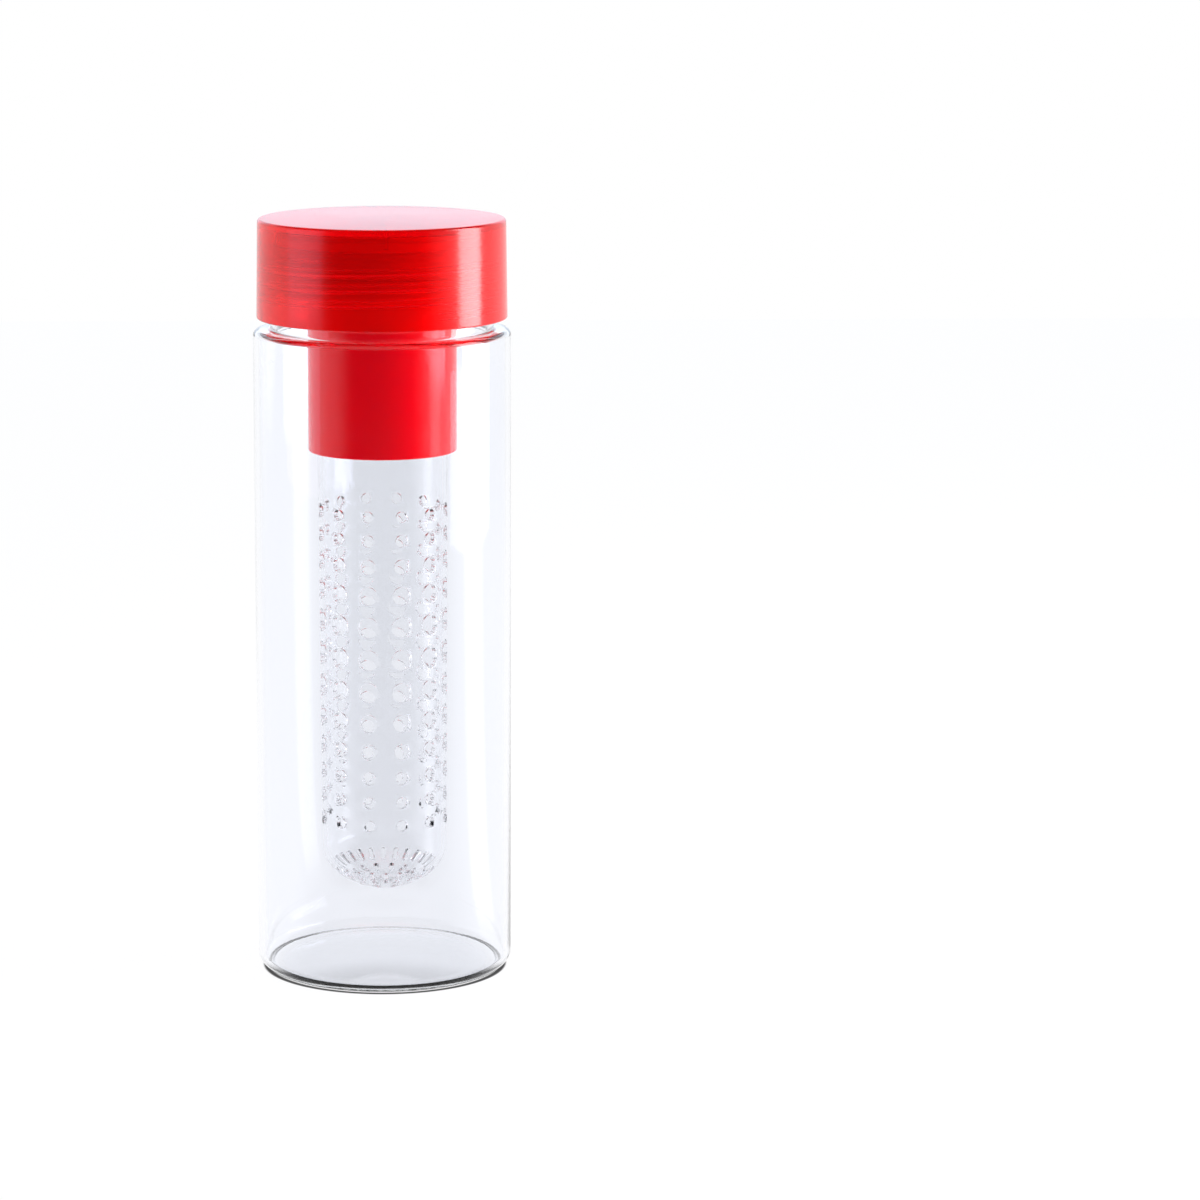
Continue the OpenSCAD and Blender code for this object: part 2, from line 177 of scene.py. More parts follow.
# Band of wall with a row of holes: each cell runs from its rectangular border to the hole's rounded
# edge, through the wall and back out to the border on the far face.
def addPierced(shell, place, band, wall, columns, firstTurn, hole, perCell, perSide):
    low, high = band
    middle = (low + high) / 2
    across = np.linspace(-1, 1, perCell + 1)[:-1]
    along = np.linspace(-1, 1, perSide + 1)[:-1]
    border = np.vstack([
        np.stack([across, np.full(perCell, -1.0)], 1),
        np.stack([np.full(perSide, 1.0), along], 1),
        np.stack([-across, np.full(perCell, 1.0)], 1),
        np.stack([np.full(perSide, -1.0), -along], 1),
    ])
    meanRadius = hole["atRadius"]
    halfTurn = math.pi / columns
    bx, by = border[:, 0] * halfTurn * meanRadius, border[:, 1] * (high - low) / 2
    length = np.hypot(bx, by)
    dx, dy = bx / length, by / length
    reach = slotReach(dx, dy, hole["halfAcross"], hole["halfAlong"])
    soft = hole["edge"]
    turned = soft * edgeShare
    rings = [(0.0, 0.0, 0.0), (0.5, 0.0, 0.0), (1.0, soft, 0.0), (1.0, turned, turned),
             (1.0, 0.0, soft), (1.0, 0.0, wall - soft), (1.0, turned, wall - turned),
             (1.0, soft, wall), (0.5, 0.0, wall), (0.0, 0.0, wall)]
    share, widen, depth = (np.array(v)[:, None] for v in zip(*rings))
    hx, hy = dx * (reach + widen), dy * (reach + widen)
    x, y = bx + (hx - bx) * share, by + (hy - by) * share
    turns = math.radians(firstTurn) + 2 * math.pi * np.arange(columns) / columns
    turn = turns[:, None, None] + (x / meanRadius)[None]
    grid = place(turn, (middle + y)[None] + 0 * turn, depth[None] + 0 * turn)
    cell = gridFaces(len(rings), len(bx))
    for k in range(columns):
        shell.add(grid[k], cell)


class Wire:
    def __init__(self, shader, socket):
        self.shader, self.socket = shader, socket

    def math(self, operation, *values):
        return self.shader.node("ShaderNodeMath", {"operation": operation}, dict(enumerate(values)))

    def __add__(self, other):
        return self.math("ADD", self, other)

    def __sub__(self, other):
        return self.math("SUBTRACT", self, other)

    def __rsub__(self, other):
        return self.math("SUBTRACT", other, self)

    def __mul__(self, other):
        return self.math("MULTIPLY", self, other)

    __radd__, __rmul__ = __add__, __mul__


class Shader:
    def __init__(self, owner):
        owner.use_nodes = True
        self.tree = owner.node_tree
        self.tree.nodes.clear()

    def node(self, kind, settings=None, values=None, output=0):
        made = self.tree.nodes.new(kind)
        for key, value in (settings or {}).items():
            setattr(made, key, value)
        for key, value in (values or {}).items():
            if isinstance(value, Wire):
                self.tree.links.new(value.socket, made.inputs[key])
            else:
                made.inputs[key].default_value = value
        return Wire(self, made.outputs[output]) if made.outputs else None

    def pick(self, wire, output):
        return Wire(self, wire.socket.node.outputs[output])

    def noise(self, scale, detail, stretch=(1, 1, 1)):
        where = self.pick(self.node("ShaderNodeTexCoord"), "Object")
        where = self.node("ShaderNodeMapping", {}, {"Vector": where, "Scale": stretch})
        return self.node("ShaderNodeTexNoise", {}, {"Vector": where, "Scale": scale, "Detail": detail})

    def blend(self, share, first, second):
        return self.node(
            "ShaderNodeMix", {"data_type": "RGBA"}, {0: share, 6: (*first, 1), 7: (*second, 1)}, output=2
        )

    def ease(self, value, low, high):
        return self.node(
            "ShaderNodeMapRange", {"clamp": True, "interpolation_type": "SMOOTHSTEP"},
            {"Value": value, "From Min": low, "From Max": high}
        )

    def bump(self, height, strength, distance):
        return self.node(
            "ShaderNodeBump", {}, {"Height": height, "Strength": strength, "Distance": distance}
        )


# Clear or tinted plastic: a smooth wall that lets lamps through, so that what it shuts in is lit.
def clearPlastic(name, look):
    made = bpy.data.materials.new(name)
    shader = Shader(made)
    cloud = shader.noise(look["cloudScale"], cloudDetail)
    flow = shader.noise(look["flowScale"], flowDetail, look["flowStretch"])
    fine = shader.noise(look["grainScale"], flowDetail)
    body = shader.node("ShaderNodeBsdfPrincipled", {}, {
        "Base Color": shader.blend(cloud, look["colour"], look["colourAway"]),
        "Roughness": look["roughness"] + cloud * look["roughnessSwing"],
        "IOR": look["ior"],
        "Transmission Weight": look["clear"],
        "Normal": shader.bump(flow + fine * look["grainShare"], look["bump"], look["bumpDepth"]),
    })
    path = shader.node("ShaderNodeLightPath")
    lampRay = path.math("MAXIMUM", shader.pick(path, "Is Shadow Ray"),
                        shader.pick(path, "Is Diffuse Ray"))
    through = shader.node("ShaderNodeBsdfTransparent", {}, {"Color": (*look["lampTint"], 1)})
    mixed = shader.node("ShaderNodeMixShader", {}, {0: lampRay, 1: body, 2: through})
    shader.node("ShaderNodeOutputMaterial", {}, {"Surface": mixed})
    return made


# Moulded or soft opaque plastic: a mottled colour, a fine grain and a varied gloss.
def opaquePlastic(name, look):
    made = bpy.data.materials.new(name)
    shader = Shader(made)
    cloud = shader.noise(look["cloudScale"], cloudDetail)
    grain = shader.noise(look["grainScale"], grainDetail)
    body = shader.node("ShaderNodeBsdfPrincipled", {}, {
        "Base Color": shader.blend(cloud, look["colour"], look["colourAway"]),
        "Roughness": look["roughness"] + cloud * look["roughnessSwing"],
        "IOR": look["ior"],
        "Subsurface Weight": look["glow"],
        "Subsurface Radius": look["glowRadius"],
        "Subsurface Scale": look["glowScale"],
        "Normal": shader.bump(grain, look["bump"], look["bumpDepth"]),
    })
    shader.node("ShaderNodeOutputMaterial", {}, {"Surface": body})
    return made


# Heights and radii that pieces share, in millimetres.
lip = 206.8
shoulder = 182.4
neckRoot, neckBore = 31.1, 29.7
rimTop = 209.8
lidUnder, lidTop, lidFoot = 211.3, 213.3, 185.6
collarFloor, collarUnder = 194.4, 192.6
bandInner, bandOuter = 21.2, 26.95
sleeveFoot = 148.4
domeFoot, domeApex = 35.9, 22.6
threadLead = 4.2

bottleLook = {
    "colour": (0.962, 0.972, 1.0), "colourAway": (0.952, 0.964, 0.996),
    "cloudScale": 14.0, "flowScale": 22.0, "flowStretch": (1, 1, 0.22), "grainScale": 900.0,
    "grainShare": 0.02, "clear": 1.0,
    "roughness": 0.012, "roughnessSwing": 0.018, "ior": 1.46, "bump": 0.35, "bumpDepth": 0.0004,
    "lampTint": (0.96, 0.97, 0.985),
}
bottle = {
    "radius": 36.0, "innerRadius": 34.3, "around": 240, "facets": (14, 10, 8, 16),
    "baseRound": 4.5, "innerRound": 2.8, "shoulderRound": 1.7, "neckRound": 0.8, "lipRound": 0.5,
    "plate": 1.6, "plateRounds": (0.5, 0.25), "neckFoot": 189.0, "threadTop": 205.4,
    "puntRadius": 29.0, "puntRise": 3.0, "floor": 1.8, "floorRadius": 32.1, "ringFloor": 1.7,
    "threadStep": 0.28,
    "thread": {"startTurn": 290, "startZ": 191.2, "lead": threadLead, "turns": 3, "height": 1.4,
               "rootWidth": 2.3, "crestWidth": 1.0, "runOut": 0.09},
}


# Bottle: an arc under the base and a rounded path up the outside, and a rounded path down the mouth
# with an arc over the floor, all turned about the axis, with the threaded neck between them.
def makeBottle(size, material):
    turns = fullTurn(size["around"])
    curve = (size["puntRadius"] ** 2 + size["puntRise"] ** 2) / (2 * size["puntRise"])
    centre = size["puntRise"] - curve
    underFacets, outerFacets, mouthFacets, floorFacets = size["facets"]
    r = np.linspace(0, size["puntRadius"], underFacets)
    under = np.stack([r, centre + np.sqrt(curve**2 - r**2)], 1)
    outside = roundedPath([
        (size["puntRadius"], 0, 0), (size["radius"], 0, size["baseRound"]),
        (size["radius"], shoulder, size["shoulderRound"]), (neckRoot, shoulder, size["neckRound"]),
        (neckRoot, size["neckFoot"], 0),
    ], outerFacets)
    plateFoot = shoulder - size["plate"]
    boreRound, plateRound = size["plateRounds"]
    mouth = roundedPath([
        (neckRoot, size["threadTop"], 0), (neckRoot, lip, size["lipRound"]),
        (neckBore, lip, size["lipRound"]), (neckBore, plateFoot, boreRound),
        (size["innerRadius"], plateFoot, plateRound),
        (size["innerRadius"], size["ringFloor"], size["innerRound"]),
        (size["floorRadius"], size["ringFloor"], 0),
    ], mouthFacets)
    top = curve + size["floor"]
    r = np.linspace(size["floorRadius"], 0, floorFacets)
    inside = np.stack([r, centre + np.sqrt(top**2 - r**2)], 1)
    shell = Shell()
    shell.addSheet(np.vstack([under, outside[1:]]), turns)
    shell.addSheet(np.vstack([mouth, inside[1:]]), turns)
    addThreaded(shell, neckRoot, 1, size["neckFoot"], size["threadTop"], turns, size["thread"],
                size["threadStep"])
    return shell.finish("clearBottle", material)


lidLook = {
    "colour": (1.0, 0.0, 0.004), "colourAway": (0.97, 0.0, 0.003),
    "cloudScale": 24.0, "flowScale": 30.0, "flowStretch": (1, 1, 0.5), "grainScale": 1100.0,
    "grainShare": 0.03,
    "roughness": 0.15, "roughnessSwing": 0.04, "ior": 1.5, "bump": 0.03, "bumpDepth": 0.0002,
    "lampTint": (0.9, 0.03, 0.04), "clear": 0.92,
}
lid = {
    "footRadius": 35.0, "topRadius": 34.6, "innerRadius": 33.3, "around": 224, "facets": (10, 4),
    "topRound": 0.9, "footBevel": 0.4, "mouthBevel": 0.3, "underRound": 0.4, "threadStep": 0.28,
    "threadLow": 186.9, "threadHigh": 206.0,
    "ribs": 6, "ribTurn": 32, "ribWidth": 0.9, "ribReach": 1.2, "ribHeight": 3.4, "ribFlank": 1.25,
    "ribStart": (0.1, 0.15), "ribDepth": 0.6,
    "thread": {"startTurn": 290, "startZ": 189.1, "lead": threadLead, "turns": 3.5, "height": 1.9,
               "rootWidth": 2.3, "crestWidth": 1.0, "runOut": 0.09},
}


# Lid: a rounded outside turned about the axis, and an inside whose upper rows step inwards at each rib,
# with the threaded wall between them.
def makeLid(size, material):
    ribs = np.radians(size["ribTurn"]) + 2 * math.pi * np.arange(size["ribs"]) / size["ribs"]
    halfRib = size["ribWidth"] / 2 / size["innerRadius"]
    flank = size["ribFlank"]
    sides = np.array([-flank, -1.0, 1.0, flank]) * halfRib
    edges = (ribs[:, None] + sides).ravel() % (2 * math.pi)
    turns = np.sort(np.concatenate([fullTurn(size["around"]), edges]))
    outerFacets, innerFacets = size["facets"]
    inner = size["innerRadius"]
    outside = roundedPath([
        (0, lidTop, 0), (size["topRadius"], lidTop, size["topRound"]),
        (size["footRadius"], lidFoot, size["footBevel"]), (inner, lidFoot, size["mouthBevel"]),
        (inner, size["threadLow"], 0),
    ], outerFacets)
    ribFoot = lidUnder - size["ribHeight"]
    ribLow, ribFull = (ribFoot + step for step in size["ribStart"])
    inside = roundedPath([
        (inner, size["threadHigh"], 0), (inner, ribFoot, 0), (inner, ribFull, 0),
        (inner, lidUnder, size["underRound"]), (0, lidUnder, 0),
    ], innerFacets)
    grid = revolved(inside, turns)
    gap = np.abs((turns[:, None] - ribs[None] + math.pi) % (2 * math.pi) - math.pi).min(1)
    onRib = np.clip((flank - gap / halfRib) / (flank - 1), 0, 1) * size["ribReach"]
    high = (inside[:, 1] > ribLow) & (inside[:, 0] > inner - size["ribDepth"])
    reach = inside[high, 0][:, None]
    reach = reach - np.minimum(onRib[None], reach - (inner - size["ribReach"]))
    grid[high, :, 0], grid[high, :, 1] = reach * np.cos(turns), reach * np.sin(turns)
    shell = Shell()
    shell.addSheet(outside, turns)
    shell.add(grid, gridFaces(len(inside), len(turns)))
    addThreaded(shell, inner, -1, size["threadLow"], size["threadHigh"], turns, size["thread"],
                size["threadStep"])
    return shell.finish("screwLid", material)


lidSealLook = {
    "colour": (0.86, 0.83, 0.83), "colourAway": (0.8, 0.77, 0.78),
    "cloudScale": 60.0, "grainScale": 1500.0,
    "roughness": 0.5, "roughnessSwing": 0.12, "ior": 1.41, "bump": 0.2, "bumpDepth": 0.0001,
    "glow": 0.2, "glowRadius": (1, 0.8, 0.8), "glowScale": 0.001,
}
ringLook = {
    "colour": (0.95, 0.40, 0.44), "colourAway": (0.9, 0.34, 0.38),
    "cloudScale": 60.0, "grainScale": 1500.0,
    "roughness": 0.45, "roughnessSwing": 0.12, "ior": 1.41, "bump": 0.2, "bumpDepth": 0.0001,
    "glow": 0.3, "glowRadius": (1, 0.5, 0.5), "glowScale": 0.0015,
}
lidSeal = {
    "outer": 32.05, "inner": 25.6, "low": 209.85, "high": 211.25, "round": 0.2, "innerRound": 0.1,
    "around": 144, "facets": 5, "grooves": 0,
}
collarRing = {
    "outer": 29.62, "inner": 28.48, "low": 199.1, "high": 206.3, "round": 0.4, "innerRound": 0.1,
    "around": 192, "facets": 5, "grooves": 3, "grooveDepth": 0.22, "grooveStep": 0.3, "faceDepth": 0.05,
}


# Seal: a closed rounded section turned about the axis.
def makeSeal(name, size, material):
    turns = fullTurn(size["around"])
    middle = (size["outer"] + size["inner"]) / 2
    path = roundedPath([
        (middle, size["low"], 0), (size["outer"], size["low"], size["round"]),
        (size["outer"], size["high"], size["round"]), (size["inner"], size["high"], size["innerRound"]),
        (size["inner"], size["low"], size["innerRound"]), (middle, size["low"], 0),
    ], size["facets"])[:-1]
    if size["grooves"]:  # shallow waists between the ring's lips
        path = refined(path, size["grooveStep"])
        share = (path[:, 1] - size["low"]) / (size["high"] - size["low"])
        outer = path[:, 0] > size["outer"] - size["faceDepth"]
        waist = size["grooveDepth"] * np.sin(math.pi * size["grooves"] * share) ** 2
        path[:, 0] -= np.where(outer, waist, 0)
    shell = Shell()
    shell.addSheet(path, turns, closedRows=True)
    return shell.finish(name, material)


collarLook = {
    "colour": (0.97, 0.0, 0.008), "colourAway": (0.92, 0.0, 0.007),
    "cloudScale": 40.0, "grainScale": 1300.0,
    "roughness": 0.07, "roughnessSwing": 0.06, "ior": 1.5, "bump": 0.06, "bumpDepth": 0.0001,
    "glow": 0.15, "glowRadius": (1, 0.05, 0.05), "glowScale": 0.0015,
}
collar = {
    "around": 192, "slots": 8, "slotTurn": 22.5, "slotFacets": 6,
    "slot": {"halfAcross": 7.5, "halfAlong": 2.5, "edge": 0.2, "atRadius": 24.08},
    "barHalf": 1.2, "barReach": 20.0, "barTop": 197.1, "barSink": 0.1, "barNeck": 0.6, "barMiddle": 1.5,
    "barFacets": 13,
    "cup": [
        (bandOuter, collarFloor, 0), (27.3, collarFloor, 0.3), (27.3, rimTop, 0.4), (31.0, rimTop, 0.8),
        (31.0, lip, 0.4), (28.4, lip, 0.15), (28.4, 199.02, 0.1), (29.3, 199.02, 0.3),
        (29.3, 197.82, 0.45), (28.4, 197.82, 0.1), (28.4, collarUnder, 0.9), (bandOuter, collarUnder, 0),
    ],
    "sleeve": [
        (bandInner, collarFloor, 0), (20.85, collarFloor, 0.2), (20.85, 197.4, 0.5), (19.25, 197.4, 0.5),
        (19.25, 165.6, 0.1), (18.35, 165.6, 0.2), (18.35, 164.4, 0.2), (19.25, 164.4, 0.1),
        (19.25, sleeveFoot, 0.5), (20.85, sleeveFoot, 0.5), (20.85, collarUnder, 0.25),
        (bandInner, collarUnder, 0),
    ],
}


# Collar: the sections of its cup and sleeve turned about the axis, a slotted floor between them, and a
# bar, whose section is carried straight across the sleeve and shut to a point at both ends.
def makeCollar(size, material):
    shell = Shell()
    first = math.radians(size["slotTurn"]) - math.pi / size["slots"]
    turns = first + fullTurn(size["around"])
    shell.addSheet(roundedPath(size["cup"]), turns)
    shell.addSheet(roundedPath(size["sleeve"]), turns)

    def place(turn, along, depth):
        return np.stack([along * np.cos(turn), along * np.sin(turn), collarFloor - depth], -1)

    addPierced(shell, place, (bandInner, bandOuter), collarFloor - collarUnder,
               size["slots"], size["slotTurn"], size["slot"], size["around"] // size["slots"],
               size["slotFacets"])
    half = size["barHalf"]
    a = np.linspace(0, math.pi, size["barFacets"])
    top = size["barTop"] - half
    foot, neck = collarFloor + size["barSink"], top - size["barNeck"]
    outline = np.vstack([
        [[half, foot], [half, neck]],
        np.stack([half * np.cos(a), top + half * np.sin(a)], 1),
        [[-half, neck], [-half, foot], [0, foot]],
    ])
    stations = np.array([-1, -1, 1, 1]) * size["barReach"]
    shrink = np.array([0, 1, 1, 0])[:, None]
    middle = np.array([0, collarFloor + size["barMiddle"]])
    section = middle + (outline - middle)[None] * shrink[..., None]
    along = np.broadcast_to(stations[:, None], section.shape[:2])
    bar = np.stack([along, section[..., 0], section[..., 1]], -1)
    shell.add(bar, gridFaces(len(stations), len(outline)))
    return shell.finish("infuserCollar", material)


tubeLook = {
    "colour": (0.99, 0.993, 1.0), "colourAway": (0.985, 0.99, 1.0),
    "cloudScale": 20.0, "flowScale": 30.0, "flowStretch": (1, 1, 0.3), "grainScale": 900.0,
    "grainShare": 0.02, "clear": 1.0,
    "roughness": 0.02, "roughnessSwing": 0.02, "ior": 1.42, "bump": 0.3, "bumpDepth": 0.0003,
    "lampTint": (0.95, 0.96, 0.98),
}
tube = {
    "around": 192, "columns": 12, "firstTurn": 16.5, "wall": 1.4,
    "lowRadius": 17.75, "topRadius": 18.2, "knuckle": 11.0, "domeHeight": 13.3,
    "rows": 12, "endHole": 3.0, "largeHole": 5.788, "drop": 16.5, "rise": 8.0, "peakRow": 4.6,
    "holeRadius": 18.0, "edge": 0.16,
    "plugRadius": 19.15, "plugLow": 150.7, "plugTop": 164.3, "plugRound": 0.4,
    # count, start and end of the ring up the dome, half a slot's length, radius
    "outerSlots": (24, 12.4, 18.4, 2.5, 14.1), "innerSlots": (12, 6.2, 11.1, 1.95, 8.4),
    "halfSlot": 0.65,
    "gateRadius": 1.3, "gateDrop": 0.45, "gateBlend": 0.4,
    "poleRows": 9, "webRows": 3, "rimRows": 6, "slotFacets": 6, "holeFacets": 5,
}


# Tube: a dome of a wide arc and a tight one, turned about the axis, and a wall above it that widens
# slightly, cut by two rings of slots and rows of round holes, with a stepped plug on top.
def makeTube(size, material):
    knuckleCentre = size["lowRadius"] - size["knuckle"]
    crown = (size["domeHeight"] ** 2 + knuckleCentre**2 - size["knuckle"] ** 2) / (
        2 * (size["domeHeight"] - size["knuckle"]))
    crownZ = domeApex + crown
    joint = math.atan2(knuckleCentre, crownZ - domeFoot)
    crownEnd = crown * joint
    domeEnd = crownEnd + size["knuckle"] * (math.pi / 2 - joint)
    draft = (size["topRadius"] - size["lowRadius"]) / (sleeveFoot - domeFoot)

    # Point of the wall: along is the length up the outside from the bottom of the dome, and depth
    # goes inwards.
    def place(turn, along, depth):
        onCrown, onDome = along <= crownEnd, along <= domeEnd
        lean = np.where(onCrown, along / crown, joint + (along - crownEnd) / size["knuckle"])
        lean = np.where(onDome, lean, math.pi / 2)
        radius = np.where(onCrown, crown, size["knuckle"]) - depth
        r = np.where(onCrown, 0, knuckleCentre) + radius * np.sin(lean)
        z = np.where(onCrown, crownZ, domeFoot) - radius * np.cos(lean)
        straight = along - domeEnd
        r = np.where(onDome, r, size["lowRadius"] + draft * straight - depth)
        z = np.where(onDome, z, domeFoot + straight)
        nub = np.clip((size["gateRadius"] - r) / size["gateBlend"], 0, 1)
        z = np.where(onDome & (depth <= 0), z - size["gateDrop"] * nub * nub * (3 - 2 * nub), z)
        return np.stack([r * np.cos(turn), r * np.sin(turn), z], -1)

    shell = Shell()
    cellTurn = 2 * math.pi / size["columns"]
    turns = math.radians(size["firstTurn"]) - cellTurn / 2 + fullTurn(size["around"])
    wall = size["wall"]

    def strip(low, high, steps):
        along = np.linspace(low, high, steps)[:, None] + 0 * turns
        for depth in (0.0, wall):
            shell.add(place(turns[None] + 0 * along, along, np.full_like(along, depth)),
                      gridFaces(steps, len(turns)))

    def pierced(band, columns, atRadius, halfAcross, halfAlong, perSide):
        hole = {"halfAcross": halfAcross, "halfAlong": halfAlong, "edge": size["edge"],
                "atRadius": atRadius}
        addPierced(shell, place, band, wall, columns, size["firstTurn"], hole,
                   size["around"] // columns, perSide)

    # Holes grow smoothly from the end rows to the widest row.
    row = np.arange(size["rows"])
    peak, last = size["peakRow"], size["rows"] - 1
    swing = np.where(row < peak, math.pi * row / peak, math.pi * (last - row) / (last - peak))
    share = 1 - np.cos(swing)
    bore = size["endHole"] + (size["largeHole"] - size["endHole"]) * share / 2
    between = (bore[:-1] + bore[1:]) / 2
    web = (sleeveFoot - size["drop"] - domeFoot - size["rise"] - between.sum()) / last
    drops = np.concatenate([[0], np.cumsum(between + web)])
    holeZ = sleeveFoot - size["drop"] - drops

    # Two rings of slots in the dome, then the rows of holes, with plain strips between them.
    columns, low, high, halfLong, atRadius = size["innerSlots"]
    strip(0.0, low, size["poleRows"])
    pierced((low, high), columns, atRadius, size["halfSlot"], halfLong, size["slotFacets"])
    columns, low2, high2, halfLong, atRadius = size["outerSlots"]
    strip(high, low2, size["webRows"])
    pierced((low2, high2), columns, atRadius, size["halfSlot"], halfLong, size["slotFacets"])
    edges = np.concatenate([holeZ + bore / 2 + web / 2, [holeZ[-1] - bore[-1] / 2 - web / 2]])
    edges = edges - domeFoot + domeEnd
    strip(high2, domeEnd, size["rimRows"])
    strip(domeEnd, edges[-1], size["webRows"])
    for i in row:
        pierced((edges[i + 1], edges[i]), size["columns"], size["holeRadius"], bore[i] / 2, bore[i] / 2,
                size["holeFacets"])
    top = edges[0]
    topZ = domeFoot + top - domeEnd
    topR = size["lowRadius"] + draft * (top - domeEnd)
    plug, soft = size["plugRadius"], size["plugRound"]
    path = roundedPath([
        (topR, topZ, 0), (size["topRadius"], size["plugLow"], soft),
        (plug, size["plugLow"] + plug - size["topRadius"], soft),
        (plug, size["plugTop"], soft), (plug - wall, size["plugTop"], soft),
        (plug - wall, size["plugLow"] + wall + plug - size["topRadius"], soft),
        (size["topRadius"] - wall, size["plugLow"] + wall, soft), (topR - wall, topZ, 0),
    ])
    shell.addSheet(path, turns)
    return shell.finish("infuserTube", material)


clearBottle = makeBottle(bottle, clearPlastic("clearBottlePlastic", bottleLook))
screwLid = makeLid(lid, clearPlastic("redLidPlastic", lidLook))
flatSeal = makeSeal("flatSeal", lidSeal, opaquePlastic("paleSilicone", lidSealLook))
ringSeal = makeSeal("ringSeal", collarRing, opaquePlastic("pinkSilicone", ringLook))
infuserCollar = makeCollar(collar, opaquePlastic("redCollarPlastic", collarLook))
infuserTube = makeTube(tube, clearPlastic("clearTubePlastic", tubeLook))
print("stage: pieces made")

for piece, node, body, slot in (
    (clearBottle, "bottle", "bottle", "bottle_clear"),
    (screwLid, "lid", "lid", "lid_red"),
    (flatSeal, "lid_seal", "lid_lift", "seal_white"),
    (ringSeal, "collar_seal", "infuser", "seal_pink"),
    (infuserCollar, "infuser_collar", "infuser", "collar_red"),
    (infuserTube, "infuser_tube", "tube", "tube_clear"),
):
    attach(piece, body)
    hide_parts(node)
print("stage: pieces ride on their bodies")

studio = {
    "floorReach": 1.5, "floorColour": (0.97, 0.97, 0.98), "shadeColour": (0.02, 0.02, 0.02),
    "floorWhiteShare": 0.9,
    # painted contact shadow: a dark ring where the base stands; painted shade: a dimmer floor under the
    # base
    "contactStart": (0.0324, 0.0334), "contactEnd": (0.0342, 0.0350), "contactShadowDepth": 0.92,
    "underEdge": (0.0300, 0.0325), "underShadeDepth": 0.1,
    "sheenStart": (-0.26, -0.18), "sheenEnd": (0.1, 0.2), "sheenReach": (0.05, 0.12), "sheenLevel": 1.3,
    "leastX": 0.001,
    "diffuseLevel": 0.95, "front": (0.15, 0.72), "frontDark": 1.0, "frontDim": 0.84, "above": (0.4, 0.6),
}


# Rays that show the white background: straight from the camera, through a wall, or mirrored.
def showingRays(path):
    seen = path.math("MAXIMUM", path.shader.pick(path, "Is Camera Ray"),
                     path.shader.pick(path, "Is Transmission Ray"))
    return seen.math("MAXIMUM", seen, path.shader.pick(path, "Is Glossy Ray"))


# Rays after exactly one mirror: the glossy depth is 1, give or take a half.
def mirroredOnce(path):
    return path.math("COMPARE", path.shader.pick(path, "Glossy Depth"), 1.0, 0.5)


# Floor: pale and diffuse with a painted contact shadow, a dark line where the base stands, and painted
# shade under the base, and white to the rays that show the background, darkened there by the same
# painted shadow. Mirrors see it dark towards the front, with a painted bright streak to the right.
def makeFloor(size):
    edge = size["floorReach"]
    mesh = bpy.data.meshes.new("floor")
    mesh.from_pydata([(-edge, -edge, 0), (edge, -edge, 0), (edge, edge, 0), (-edge, edge, 0)], [],
                     [(0, 1, 2, 3)])
    floor = bpy.data.objects.new("floor", mesh)
    bpy.context.scene.collection.objects.link(floor)
    made = bpy.data.materials.new("paleFloor")
    shader = Shader(made)
    where = shader.pick(shader.node("ShaderNodeTexCoord"), "Object")
    reach = shader.node("ShaderNodeVectorMath", {"operation": "LENGTH"}, {0: where}, output=1)
    # painted contact shadow in a ring round the base and painted shade under it darken both the diffuse
    # colour and the white
    paintedContactShadow = shader.ease(reach, *size["contactStart"]) - shader.ease(reach, *size["contactEnd"])
    under = 1.0 - shader.ease(reach, *size["underEdge"])
    paintedShading = 1.0 - (paintedContactShadow * size["contactShadowDepth"] + under * size["underShadeDepth"])
    body = shader.node("ShaderNodeBsdfDiffuse", {}, {
        "Color": shader.blend(paintedShading, size["shadeColour"], size["floorColour"])})
    path = shader.node("ShaderNodeLightPath")
    mirrored = mirroredOnce(path)
    x = shader.node("ShaderNodeSeparateXYZ", {}, {0: where})
    y = shader.pick(x, "Y")
    dark = shader.ease(y.math("DIVIDE", y * -1.0, reach), *size["front"]) * mirrored
    slope = y.math("DIVIDE", y, x.math("MAXIMUM", x, size["leastX"]))
    sheen = shader.ease(slope, *size["sheenStart"]) - shader.ease(slope, *size["sheenEnd"])
    sheen = sheen * shader.ease(x, *size["sheenReach"]) * mirrored * size["sheenLevel"]
    white = shader.node("ShaderNodeEmission", {}, {
        "Color": (1, 1, 1, 1), "Strength": (1.0 - dark * size["frontDark"]) * paintedShading + sheen})
    share = size["floorWhiteShare"] + dark * (1.0 - size["floorWhiteShare"])
    mixed = shader.node("ShaderNodeMixShader", {}, {0: showingRays(path) * share, 1: body, 2: white})
    shader.node("ShaderNodeOutputMaterial", {}, {"Surface": mixed})
    mesh.materials.append(made)


# World: white to the rays that show the background, but dark to mirrors at the front and overhead, and
# a soft level for everything else, dimmer from the front.
def makeWorld(size):
    world = bpy.data.worlds.new("paleStudio")
    bpy.context.scene.world = world
    shader = Shader(world)
    path = shader.node("ShaderNodeLightPath")
    seen = showingRays(path)
    way = shader.pick(shader.node("ShaderNodeTexCoord"), "Generated")
    way = shader.node("ShaderNodeSeparateXYZ", {}, {0: way})
    front = shader.ease(shader.pick(way, "Y") * -1.0, *size["front"])
    above = shader.ease(shader.pick(way, "Z"), *size["above"])
    white = 1.0 - front.math("MAXIMUM", front, above) * mirroredOnce(path) * size["frontDark"]
    soft = (1.0 - front * size["frontDim"]) * size["diffuseLevel"]
    level = seen * white + (1.0 - seen) * soft
    back = shader.node("ShaderNodeBackground", {}, {"Color": (1, 1, 1, 1), "Strength": level})
    shader.node("ShaderNodeOutputWorld", {}, {"Surface": back})


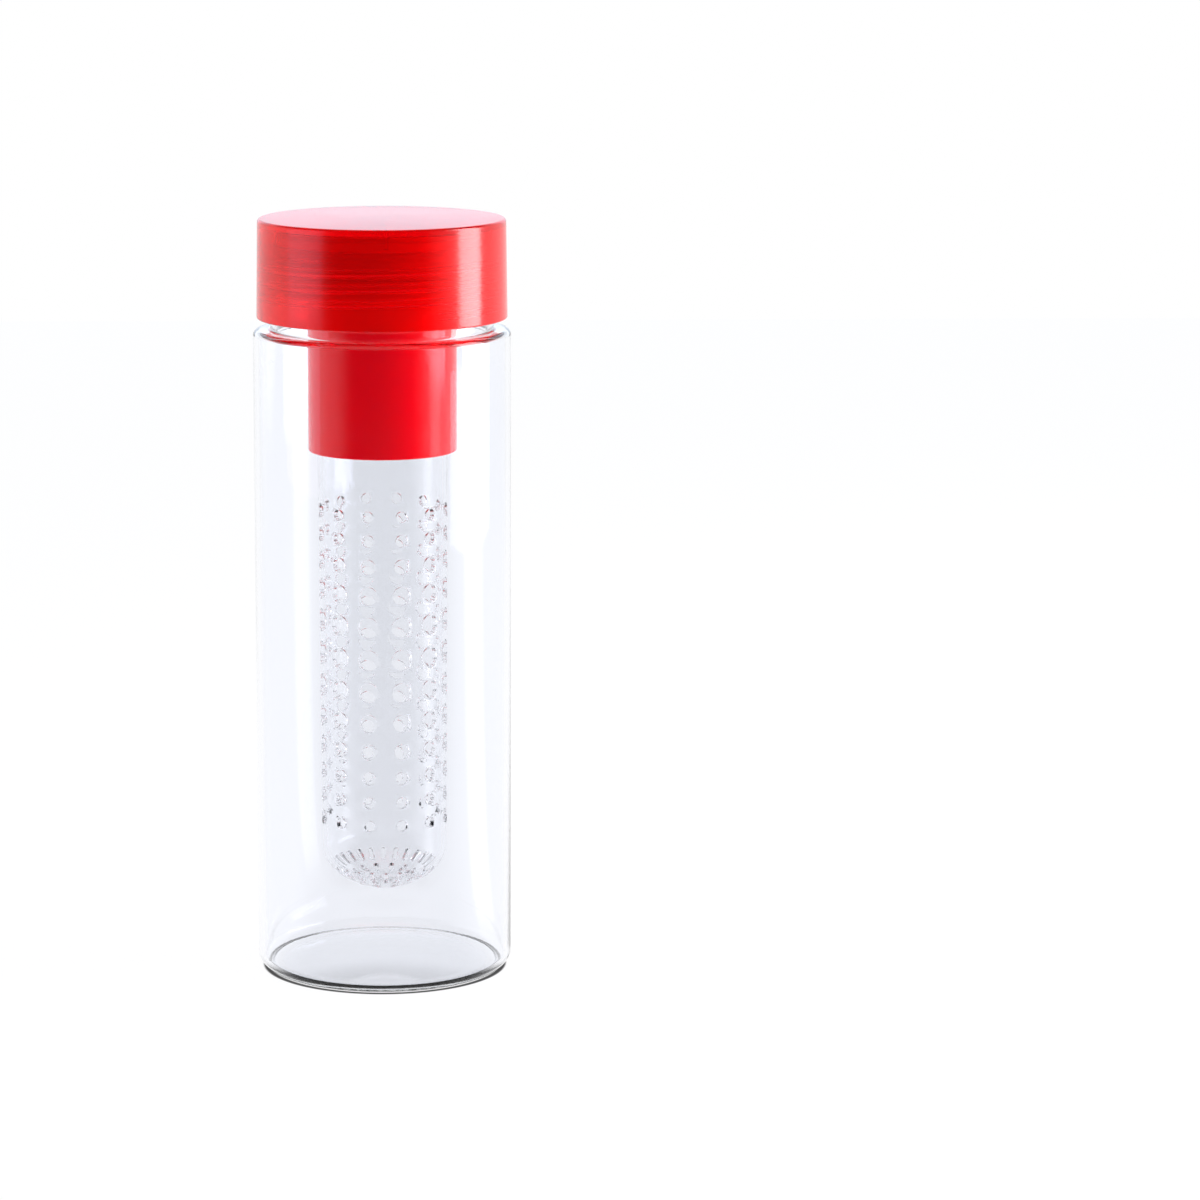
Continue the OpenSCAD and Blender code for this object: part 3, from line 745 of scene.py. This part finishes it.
# name: place, aim, width, height, brightness, diffuse share, colour, seen only through clear walls
lamps = {
    "rightStrip": ((0.95, -0.04, 0.25), (0, 0, 0.12), 0.46, 1.3, 9.0, 0.03, (1, 0.97, 1), False),
    "rightGlow": ((0.62, -0.03, 0.09), (0, 0, 0.09), 0.56, 0.106, 3.4, 0.0, (0.85, 0.85, 1), True),
    "rightBox": ((0.9, -0.35, 0.3), (0, 0, 0.12), 0.9, 1.3, 0.17, 1.0, (1, 0.97, 1), False),
    "leftBox": ((-1.0, -0.27, 0.35), (0, 0, 0.12), 0.74, 1.2, 0.95, 1.0, (0.9, 0.6, 0.9), False),
    "backBox": ((0.0, 1.7, 0.75), (0, 0, 0.2), 2.4, 1.2, 0.55, 0.4, (0.42, 0.66, 1), False),
}


def makeLamps(lamps):
    for name, (place, aim, width, height, brightness, share, colour, through) in lamps.items():
        data = bpy.data.lights.new(name, "AREA")
        data.shape, data.size, data.size_y = "RECTANGLE", width, height
        data.energy = brightness * math.pi * width * height
        data.diffuse_factor, data.color = share, colour
        lamp = bpy.data.objects.new(name, data)
        bpy.context.scene.collection.objects.link(lamp)
        lamp.location = place
        away = lamp.location - type(lamp.location)(aim)
        lamp.rotation_euler = away.to_track_quat("Z", "Y").to_euler()
        lamp.visible_camera, lamp.visible_transmission = False, through
        lamp.visible_glossy = not through


makeFloor(studio)
makeWorld(studio)
makeLamps(lamps)

view = {
    "place": (0, -1.25, 0.3385), "pitch": 10.569, "yaw": 1.447, "focal": 4507.7, "middle": 495.3,
    "side": 1200, "sensor": 36, "bounces": 48, "mirrorBounces": 16,
}

cameraData = bpy.data.cameras.new("camera")
cameraData.sensor_width = view["sensor"]
cameraData.lens = view["focal"] / view["side"] * cameraData.sensor_width
cameraData.shift_x = 0.5 - view["middle"] / view["side"]
camera = bpy.data.objects.new("camera", cameraData)
bpy.context.scene.collection.objects.link(camera)
camera.location = view["place"]
camera.rotation_euler = (math.radians(90 - view["pitch"]), 0, -math.radians(view["yaw"]))
bpy.context.scene.camera = camera

scene = bpy.context.scene
scene.view_settings.view_transform = "Standard"
scene.cycles.max_bounces = view["bounces"]
scene.cycles.transmission_bounces = view["bounces"]
scene.cycles.glossy_bounces = view["mirrorBounces"]
scene.cycles.transparent_max_bounces = view["bounces"]
print("stage: floor, world, lamps and camera set")
